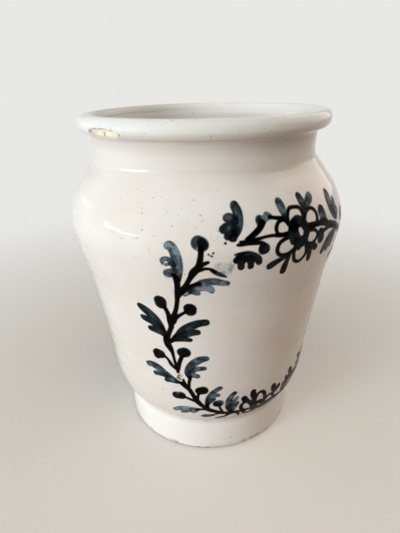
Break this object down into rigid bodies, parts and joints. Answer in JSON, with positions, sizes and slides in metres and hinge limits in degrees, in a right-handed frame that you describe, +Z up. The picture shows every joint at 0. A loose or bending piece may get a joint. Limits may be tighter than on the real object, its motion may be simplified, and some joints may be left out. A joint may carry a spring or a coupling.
{
  "type": "tin-glazed drug jar",
  "caption": "Baluster-shaped faience jar with rolled rim, waisted neck, bulging shoulder and low foot, white glaze inside and out, painted with an open foliate wreath.",
  "frame": {"origin": "middle of the standing face of the foot", "axes": "+Z up along the jar's axis, -Y towards the side that the picture shows, +X to its right"},
  "size_m": [0.1198, 0.1198, 0.15],
  "materials": {
    "fired_clay": "matt, porous cream earthenware",
    "white_glaze": "glossy opaque white tin glaze, a little warm, with pinholes and specks",
    "lining_glaze": "glossy opaque white tin glaze, thinner over the floor"
  },
  "bodies": {
    "root": {"clay_body": "fired_clay", "outer_glaze": "white_glaze", "inner_glaze": "lining_glaze"}
  },
  "joints": []
}
